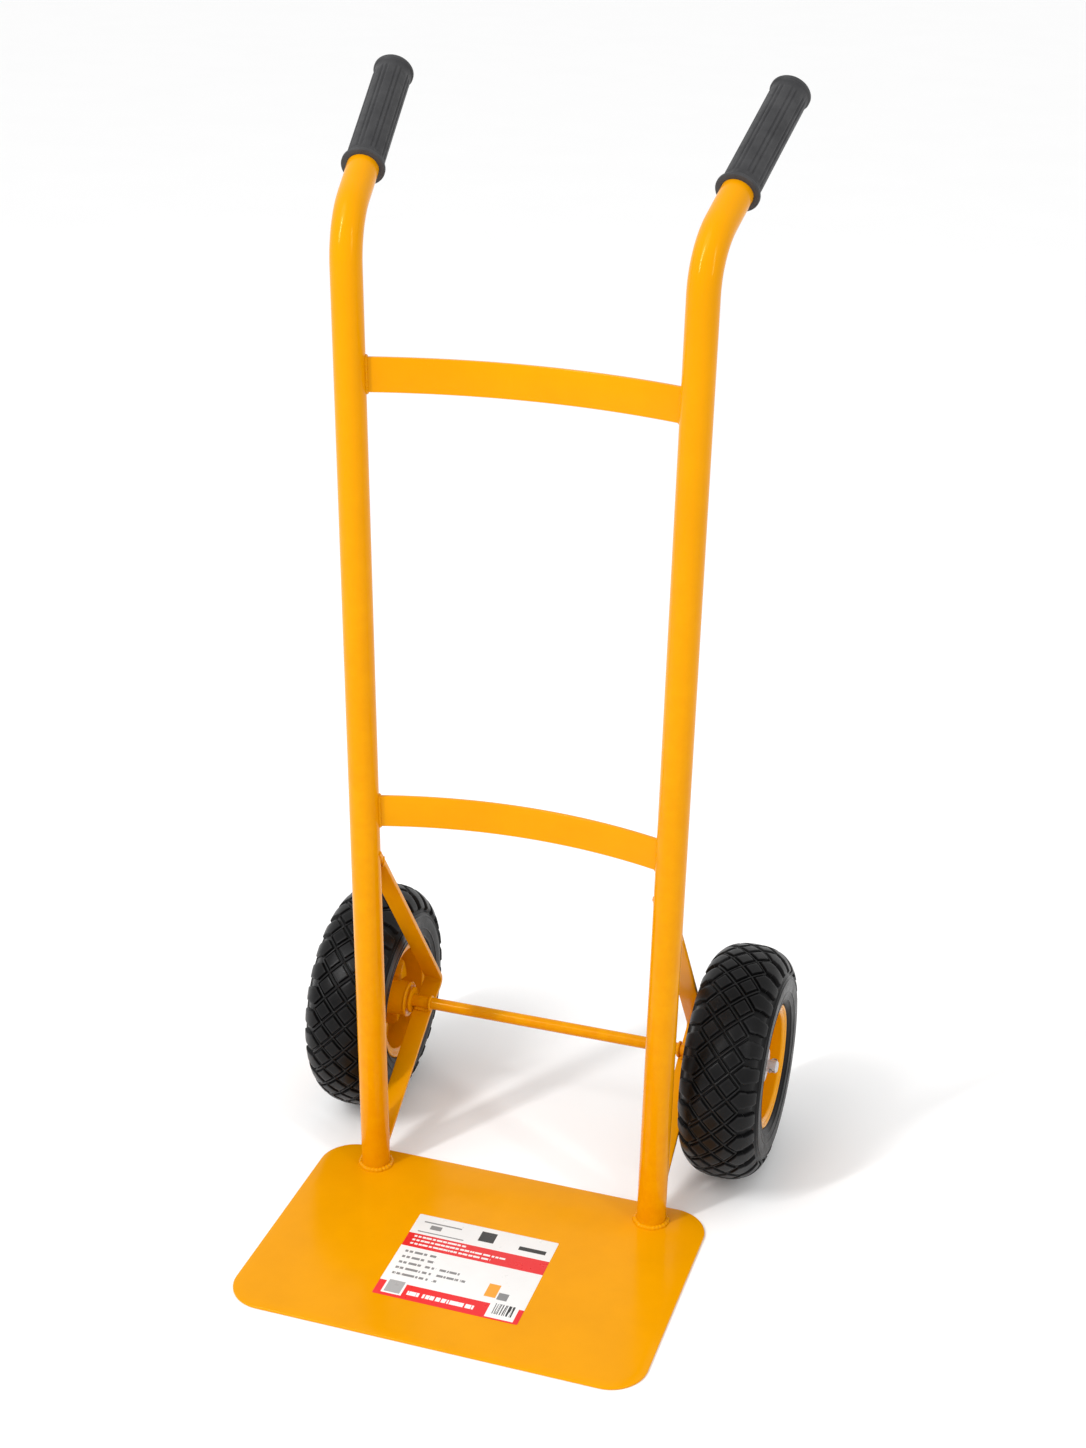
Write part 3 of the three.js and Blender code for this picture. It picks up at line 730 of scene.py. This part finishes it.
def node_span(node, name, side):
    """Inner and outer X of a CAD node from its wheel's centre, outwards positive."""
    centre = WHEEL_CENTRE[f"{name}_wheel"]
    low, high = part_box(node)
    return sorted((side * (low.x - centre.x), side * (high.x - centre.x)))


def make_axle():
    """A painted bar between the wheels, and its plain ends outside them."""
    split = WHEEL_CENTRE["right_wheel"].x
    tip = 1.5 * MM
    centre = Vector((0, AXLE_CENTRE.y, AXLE_CENTRE.z))
    core = 0.2 * MM
    bar = filleted([(-split, core, 0), (-split, AXLE_RADIUS, 0), (split, AXLE_RADIUS, 0), (split, core, 0)])
    rows = [[centre + p for p in row] for row in turned_rows(bar, 48)]
    piece("axle_bar", *loft(rows, "loop"), "frame", "paint", PAINT, ["axle"])
    for name, side in SIDES:
        reach = AXLE_HIGH.x - split
        profile = filleted([(0, core, 0), (0, AXLE_RADIUS, 0), (reach - tip, AXLE_RADIUS, 0.4 * MM),
                            (reach, AXLE_RADIUS - tip, 0.3 * MM), (reach, core, 0)])
        rows = at_wheel(name, side, turned_rows(profile, 48))
        piece(f"{name}_axle_end", *loft(rows, "loop"), "frame", "zinc", ZINC)


def make_washer(name, side, which):
    node = f"{name}_{which}_washer"
    start, end = node_span(node, name, side)
    bore = AXLE_RADIUS + FIT_GAP
    edge = (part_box(node)[1].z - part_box(node)[0].z) / 2
    profile = filleted([(start, bore, 0.3 * MM), (start, edge, 0.6 * MM),
                        (end, edge, 0.6 * MM), (end, bore, 0.3 * MM)])
    rows = at_wheel(name, side, turned_rows(profile, 72))
    material, slot = (PAINT, "paint") if which == "inner" else (ZINC, "zinc")
    piece(f"{node}_ring", *loft(rows, "loop"), "frame", slot, material, [node])


def make_split_pin(name, side):
    """A split pin: an eye at one end, two legs through the axle, and their tips bent apart."""
    node = f"{name}_cotter_pin"
    start = node_span(node, name, side)[0]
    wire = 0.8 * MM
    middle = start + 4.5 * MM
    reach = AXLE_RADIUS + 3 * MM
    eye = 3 * MM
    path = [Vector((middle + 6 * MM, -reach - 1.2 * MM, 0)), Vector((middle + 2.5 * MM, -reach, 0)),
            Vector((middle + wire, -reach + 2 * MM, 0)), Vector((middle + wire, reach - 1 * MM, 0))]
    for step in range(17):
        angle = math.radians(-60 + 300 * step / 16)
        path.append(Vector((middle + eye * math.cos(angle), reach + 0.8 * eye + eye * math.sin(angle), 0)))
    path += [Vector((middle - wire, reach - 1 * MM, 0)), Vector((middle - wire, -reach + 2 * MM, 0)),
             Vector((middle - 0.5 * wire, -reach - 2 * MM, 0)), Vector((middle + wire, -reach - 5 * MM, 0))]
    rows = at_wheel(name, side, bead_rows(resampled(path, 0.8 * MM), wire, sides=12))
    piece(f"{name}_split_pin", *loft(rows), "frame", "steel", STEEL, [node])


# ---------- tyres ----------

class TyreShape:
    """The tyre's section and the relief of its tread, in millimetres round the local X axis."""

    radius = 132.0
    half_width = 45.0
    bead = 62.0
    bead_outside = 35.2
    lip_edge = 70.0
    crown_fullness = 0.8     # below 1 the section is squarer than an ellipse
    side_fullness = 0.7
    tile = 14.2              # half a block's width along the section
    steps = 12               # mesh steps in half a block
    lattice_tiles = 2        # half blocks from the crown to the heads of the shoulder lugs
    lug_steps = 20           # mesh steps from a lug's head to its end
    # depths under the section: at each step from a block's centre, where ribs cross, and between lugs
    levels = (0, 0, 0, 0, 0, 0, 0, 0, 0.2, 3.3, 3.3, 1.5, 1.2)
    node_level = 0.5
    lug_level = 4.0
    block_step = 8           # the last step on top of a lug, and the depth of its rounded edge
    block_edge = 0.3
    side_fade = 14.0         # length over which the sunk sidewall rises to the section
    # raised rings on the sidewall: distance from the crown, height, half width
    ridges = ((58.0, 0.9, 1.0), (61.5, 0.6, 0.8), (76.0, 0.5, 0.8), (85.0, 0.9, 1.3))

    def __init__(self):
        self.widest = (self.radius + self.bead) / 2
        self.points = []
        crown = self.radius - self.widest
        for i in range(241):
            angle = math.pi / 2 * (1 - i / 240)
            x = self.half_width * math.cos(angle) ** self.crown_fullness
            self.points.append((x, self.widest + crown * math.sin(angle)))
        drop = self.widest - self.lip_edge
        bulge = self.half_width - self.bead_outside
        for i in range(1, 121):
            angle = math.pi / 2 * i / 120
            x = self.bead_outside + bulge * math.cos(angle) ** self.side_fullness
            self.points.append((x, self.widest - drop * math.sin(angle)))
        self.lengths = [0.0]
        for (x0, r0), (x1, r1) in zip(self.points, self.points[1:]):
            self.lengths.append(self.lengths[-1] + math.hypot(x1 - x0, r1 - r0))

    def at(self, distance):
        """(x, radius) and outward normal at a distance from the crown along one side."""
        i = 1
        while i < len(self.points) - 1 and self.lengths[i] < distance:
            i += 1
        (x0, r0), (x1, r1) = self.points[i - 1], self.points[i]
        span = self.lengths[i] - self.lengths[i - 1]
        t = (distance - self.lengths[i - 1]) / span
        along = ((x1 - x0) / span, (r1 - r0) / span)
        return x0 + (x1 - x0) * t, r0 + (r1 - r0) * t, -along[1], along[0]

    def tile_level(self, column, row):
        """Depth under the section's surface at a mesh column and row of the tread."""
        n = self.steps
        c = abs(column)
        shoulder = self.lattice_tiles * n
        if c <= shoulder:
            tile = round(c / n)
            best = None
            for centre in (tile - 1, tile, tile + 1):
                shift = n if centre % 2 else 0
                v = (row - shift + n) % (2 * n) - n
                step = abs(c - centre * n) + abs(v)
                best = step if best is None else min(best, step)
            if best == n and c % n == 0:
                return self.node_level
            return self.levels[min(best, n)]
        out = c - shoulder
        shift = n if self.lattice_tiles % 2 else 0
        v = abs((row - shift + n) % (2 * n) - n)
        step = v + round(0.08 * out)
        if step <= self.block_step:
            return self.block_edge if step == self.block_step else 0.0
        return self.lug_level

    def tread_edge(self):
        """Distance from the crown to the lugs' ends."""
        return self.tile * (self.lattice_tiles + self.lug_steps / self.steps)

    def base_depth(self, distance):
        """How far the sidewall lies under the outer section, fading out below the shoulder."""
        fade = (distance - self.tread_edge()) / self.side_fade
        return self.lug_level * (1 - min(max(fade, 0.0), 1.0)) ** 1.5

    def ridge(self, distance):
        height = 0.0
        for centre, rise, half in self.ridges:
            height += rise * max(0.0, 1 - abs(distance - centre) / half)
        return height

    def side_distances(self):
        """Distances from the crown for the sidewall's columns, closer together at the ridges."""
        total = self.lengths[-1]
        start = self.tread_edge()
        made = {round(start + (total - start) * i / 18, 3) for i in range(1, 19)}
        for centre, _, half in self.ridges:
            made -= {d for d in made if abs(d - centre) < 1.6 * half and d < total}
            made |= {centre + half * k for k in (-1.0, -0.5, 0.0, 0.5, 1.0)}
        return sorted(made)


def make_tyre(name, side):
    """A block-tread tyre: the tread's mesh follows the blocks' diagonal edges."""
    shape = TyreShape()
    half = shape.lattice_tiles * shape.steps + shape.lug_steps
    around = TYRE_BLOCKS * 2 * shape.steps
    sidewall = shape.side_distances()
    half_inner = [(12, 121), (30, 115), (38, 96), (26, 76), (26, 62)]
    inner = [(-x, r) for x, r in reversed(half_inner)] + half_inner
    rows = []
    for row in range(around):
        angle = math.tau * row / around
        section = []
        for way, distances in ((-1, reversed(sidewall)), (1, sidewall)):
            side_points = []
            for distance in distances:
                x, r, nx, nr = shape.at(distance)
                depth = shape.base_depth(distance) - shape.ridge(distance)
                side_points.append((way * (x - nx * depth), r - nr * depth))
            if way < 0:
                section += [(-33.0, 62.0), (-35.2, 64.2)] + side_points
                for column in range(-half, half + 1):
                    x, r, nx, nr = shape.at(abs(column) * shape.tile / shape.steps)
                    depth = shape.tile_level(column, row)
                    place = math.copysign(x - nx * depth, column) if column else 0.0
                    section.append((place, r - nr * depth))
            else:
                section += side_points + [(35.2, 64.2), (33.0, 62.0)]
        section += [(x, r) for x, r in reversed(inner)]
        spoke = Vector((0, math.sin(angle), math.cos(angle)))
        rows.append([(Vector((x, 0, 0)) + spoke * r) * MM for x, r in section])
    vertices, faces = loft(at_wheel(name, side, rows), "loop")
    count = len(rows[0])
    first = 2 + len(sidewall)
    faces = split_tread(faces, count, first, half, shape.steps)
    piece(f"{name}_tyre_tread", vertices, faces, f"{name}_wheel", "tyre", TYRE, [f"{name}_tyre"], crease=38)


def split_tread(faces, count, first, half, steps):
    """Cuts the tread's squares into triangles along the blocks' diagonal edges."""
    made = []
    for index, (a, b, c, d) in enumerate(faces):
        row, column = divmod(index, count)
        place = column - first
        if not 0 <= place < 2 * half:
            made.append((a, b, c, d))
            continue
        across = (place - half) // steps
        along = row // steps
        if (across + along) % 2:
            made += [(a, b, c), (a, c, d)]
        else:
            made += [(a, b, d), (b, c, d)]
    return made


# ---------- rims, hubs, bearings and valves ----------

def rim_profile(near, way):
    """One pressed half: web at the hub, barrel under the bead, and the rolled lip. way is +1 outwards."""
    sheet = 2.5
    far = near + sheet
    hub = 20.2
    barrel = 61.7
    inside = barrel - sheet
    lip = 70.0
    corners = [(near, hub, 0), (near, 54.2, 4), (near + 5, barrel, 2), (33.0, barrel, 2.0),
               (35.5, 64.0, 1.2), (35.6, lip - 0.8, 0.4), (36.4, lip, 0.8), (38.3, lip, 1.2),
               (39.2, 68.6, 1.2), (38.6, 67.0, 0.8), (38.0, 66.4, 0.5), (38.0, 62.6, 1.8),
               (36.0, inside, 2.2), (far + 9, inside, 5), (far + 1.0, 53.6, 4), (far, 46.0, 6),
               (far, 28.0, 3), (far + 2.5, 25.0, 2.5), (far + 2.5, hub, 0)]
    return [(way * x * MM, r * MM) for x, r in filleted(corners, 5)]


def lobe_shape(way):
    """A function that moves the web's points to press five hollow lobes out of it. way is -1 inwards."""
    height = 20 * MM
    web_side = 5.2 * MM      # points further out belong to the barrel
    lobes = 5

    def smooth(value):
        t = min(max(value, 0.0), 1.0)
        return t * t * (3 - 2 * t)

    def shape(x, r, angle):
        if abs(x) > web_side:
            return x, r
        spoke = (angle + math.pi / lobes) % (math.tau / lobes) - math.pi / lobes
        half_width = math.radians(12) + math.radians(13) * (r - 26 * MM) / (26 * MM)
        round_part = smooth((half_width - abs(spoke)) / math.radians(6))
        radial_part = smooth((r - 24 * MM) / (8 * MM)) * smooth((55 * MM - r) / (8 * MM))
        return x + way * height * round_part * radial_part, r

    return shape


def with_web_rings(profile):
    """Adds points along the profile's long straight stretches, so that a lobe can bend them."""
    made = []
    for i, (x, r) in enumerate(profile):
        nx, nr = profile[(i + 1) % len(profile)]
        count = max(1, round(math.hypot(nx - x, nr - r) / (1.5 * MM)))
        made += [(x + (nx - x) * k / count, r + (nr - r) * k / count) for k in range(count)]
    return made


def make_rims(name, side):
    """The two pressed halves, back to back with a gap between their webs."""
    body = f"{name}_wheel"
    outer_web = 2.0
    inner_web = -1.7
    outer = at_wheel(name, side, turned_rows(rim_profile(outer_web, 1), 128))
    piece(f"{name}_rim_outer_dish", *loft(outer, "loop"), body, "paint", PAINT, [f"{name}_rim_outer_half"])
    profile = with_web_rings(rim_profile(inner_web, -1))
    inner = at_wheel(name, side, turned_rows(profile, 180, lobe_shape(-1)))
    piece(f"{name}_rim_inner_dish", *loft(inner, "loop"), body, "paint", PAINT, [f"{name}_rim_inner_half"])


def make_hub(name, side):
    """The hub tube, and the weld ring that joins each rim half to it."""
    body = f"{name}_wheel"
    outside = 20 * MM
    bore = 16.5 * MM
    start, end = node_span(f"{name}_hub_tube", name, side)
    profile = filleted([(start, bore, 0.4 * MM), (start, outside, 0.8 * MM),
                        (end, outside, 0.8 * MM), (end, bore, 0.4 * MM)])
    rows = at_wheel(name, side, turned_rows(profile, 96))
    piece(f"{name}_hub_sleeve", *loft(rows, "loop"), body, "paint", PAINT, [f"{name}_hub_tube"])
    # each weld lies just past its rim half's collar
    for end_name, x in (("outer", 7.4 * MM), ("inner", -4.0 * MM)):
        ring = [Vector((x, a, b)) for a, b in circle(outside + 0.4 * MM, 150)]
        rows = at_wheel(name, side, bead_rows(ring, 1.9 * MM, closed=True, ripple=0.13, pitch=3.2 * MM))
        weld(f"{name}_hub_{end_name}_weld", rows, body)


def make_bearing(name, side, which):
    """A flanged bearing cup: a rolled flange over the hub's end, a groove, and the bearing's nose."""
    node = f"{name}_{which}_bearing"
    low, high = node_span(node, name, side)
    way = 1 if which == "outer" else -1
    face = (high if way > 0 else -low) / MM
    root = face - 15.1
    bore = 7.3
    cup = 16.2
    corners = [(root, bore, 0.3), (root, cup, 0.3), (face - 4.1, cup, 0), (face - 4.1, 20.4, 0.4),
               (face - 3.4, 21.0, 0.9), (face - 1.6, 20.6, 1.2), (face - 1.4, 17.2, 0.8),
               (face - 2.6, 15.6, 0.6), (face - 2.6, 13.8, 0.4), (face - 1.6, 13.2, 0.5),
               (face, 12.4, 0.6), (face, bore, 0.4)]
    profile = [(way * x * MM, r * MM) for x, r in filleted(corners)]
    rows = at_wheel(name, side, turned_rows(profile, 96))
    material, slot = (PAINT, "paint") if which == "inner" else (STEEL, "steel")
    piece(f"{name}_{which}_bearing_cup", *loft(rows, "loop"), f"{name}_wheel", slot, material, [node])


def valve_rows(name, corners, shape=None):
    """Rows of a turned valve piece. Its corners are (distance from the wheel's centre along -Y, radius)."""
    low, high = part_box(f"{name}_valve_stem")
    x = (low.x + high.x) / 2
    centre = WHEEL_CENTRE[f"{name}_wheel"]
    profile = [(a * MM, r * MM) for a, r in filleted(corners, 3)]
    return [[Vector((x + p.z, centre.y - p.x, centre.z + p.y)) for p in row]
            for row in turned_rows(profile, 48, shape)]


def make_valve(name):
    """The brass stem with its thread, and the fluted cap on its end."""
    body = f"{name}_wheel"
    centre = WHEEL_CENTRE[body]
    stem_low, stem_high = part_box(f"{name}_valve_stem")
    near = (centre.y - stem_high.y) / MM
    far = (centre.y - stem_low.y) / MM
    corners = [(near, 0.2, 0), (near, 2.6, 0.3)]
    for turn in range(7):
        start = near + 0.6 + 1.0 * turn
        corners += [(start, 2.7, 0.1), (start + 0.35, 3.2, 0.1), (start + 0.7, 2.7, 0.1)]
    corners += [(near + 8.5, 3.4, 0.3), (far, 3.5, 0.3), (far, 0.2, 0)]
    rows = valve_rows(name, corners)
    piece(f"{name}_valve_body", *loft(rows, "loop"), body, "brass", BRASS, [f"{name}_valve_stem"])

    cap_low, cap_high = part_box(f"{name}_valve_cap")
    near = (centre.y - cap_high.y) / MM
    far = (centre.y - cap_low.y) / MM
    corners = [(near, 0.2, 0), (near, 3.4, 0.8), (near + 1.6, 4.3, 0.5), (far, 4.4, 0.4), (far, 0.2, 0)]

    def fluted(x, r, angle):
        depth = 0.25 * MM if r > 3 * MM else 0.0
        return x, r - depth * (0.5 + 0.5 * math.cos(16 * angle))

    rows = valve_rows(name, corners, fluted)
    cap = f"{name}_valve_cap"
    piece(f"{name}_valve_dust_cap", *loft(rows, "loop"), body, "cap_plastic", PLASTIC, [cap])


def dress_inner_tube(name):
    """The inner tube's own solid stays, with a rubber finish."""
    node = frame["nodes"][f"{name}_inner_tube"]
    node.data.materials.clear()
    node.data.materials.append(INNER_TUBE)


# ---------- stage ----------

def make_floor():
    """A flat grid at floor level, reaching size metres each way."""
    size = 30.0
    steps = 6
    places = [size * (2 * i / steps - 1) for i in range(steps + 1)]
    vertices = [(x, y, 0.0) for y in places for x in places]
    faces = []
    for j in range(steps):
        for i in range(steps):
            a = j * (steps + 1) + i
            faces.append((a, a + 1, a + steps + 2, a + steps + 1))
    mesh = bpy.data.meshes.new("floor")
    mesh.from_pydata(vertices, [], faces)
    mesh.materials.append(floor_paper())
    floor = bpy.data.objects.new("floor", mesh)
    bpy.context.scene.collection.objects.link(floor)


def make_light(name, place, target, size, power):
    data = bpy.data.lights.new(name, "AREA")
    data.shape = "RECTANGLE"
    data.size, data.size_y = size
    data.energy = power
    light = bpy.data.objects.new(name, data)
    light.location = place
    light.rotation_euler = (Vector(target) - Vector(place)).to_track_quat("-Z", "Y").to_euler()
    bpy.context.scene.collection.objects.link(light)


def make_sun(towards, angle, strength):
    """A broad sun that lights the whole floor evenly. towards points from the floor to the light."""
    data = bpy.data.lights.new("sun", "SUN")
    data.energy = strength
    data.angle = math.radians(angle)
    light = bpy.data.objects.new("sun", data)
    light.rotation_euler = Vector(towards).to_track_quat("Z", "Y").to_euler()
    bpy.context.scene.collection.objects.link(light)


def make_lighting():
    world = bpy.data.worlds.new("studio")
    bpy.context.scene.world = world
    world.use_nodes = True
    background = world.node_tree.nodes["Background"]
    background.inputs["Color"].default_value = (1.0, 1.0, 1.0, 1.0)
    background.inputs["Strength"].default_value = 0.90
    make_sun((-0.45, -0.60, 1.0), 30, 0.55)
    make_light("key", (-1.6, -2.4, 3.0), (0.0, 0.0, 0.9), (0.2, 1.7), 60)
    make_light("fill", (2.6, -1.4, 2.2), (0.0, 0.0, 0.7), (0.2, 1.4), 14)
    bpy.context.scene.view_settings.view_transform = "Standard"
    bpy.context.scene.view_settings.look = "None"


def make_camera():
    """The viewing angle, found by fitting the truck's own edges."""
    azimuth = math.radians(17.952)
    elevation = math.radians(23.254)
    roll = math.radians(0.786)
    back = Vector((math.sin(azimuth) * math.cos(elevation), -math.cos(azimuth) * math.cos(elevation),
                   math.sin(elevation)))
    right = Vector((math.cos(azimuth), math.sin(azimuth), 0))
    up = back.cross(right)
    rolled_right = right * math.cos(roll) + up * math.sin(roll)
    rolled_up = up * math.cos(roll) - right * math.sin(roll)
    data = bpy.data.cameras.new("camera")
    data.sensor_width = 36
    data.lens = 53.69
    data.shift_x = 0.0069
    data.shift_y = -0.0097
    data.clip_end = 200
    camera = bpy.data.objects.new("camera", data)
    rotation = Matrix((rolled_right, rolled_up, back)).transposed().to_4x4()
    camera.matrix_world = Matrix.Translation((0.6362, -1.9085, 1.4531)) @ rotation
    bpy.context.scene.collection.objects.link(camera)
    bpy.context.scene.camera = camera


# ---------- everything ----------

make_camera()
make_floor()
make_lighting()
make_toe_plate()
make_label()
for bar in ("upper_crossbar", "lower_crossbar"):
    make_crossbar(bar)
make_axle()
for side_name, side in SIDES:
    make_stile(side_name, side)
    make_grip(side_name, side)
    make_bracket(side_name, side)
    for which in ("inner", "outer"):
        make_washer(side_name, side, which)
        make_bearing(side_name, side, which)
    make_split_pin(side_name, side)
    make_tyre(side_name, side)
    make_rims(side_name, side)
    make_hub(side_name, side)
    make_valve(side_name)
    dress_inner_tube(side_name)
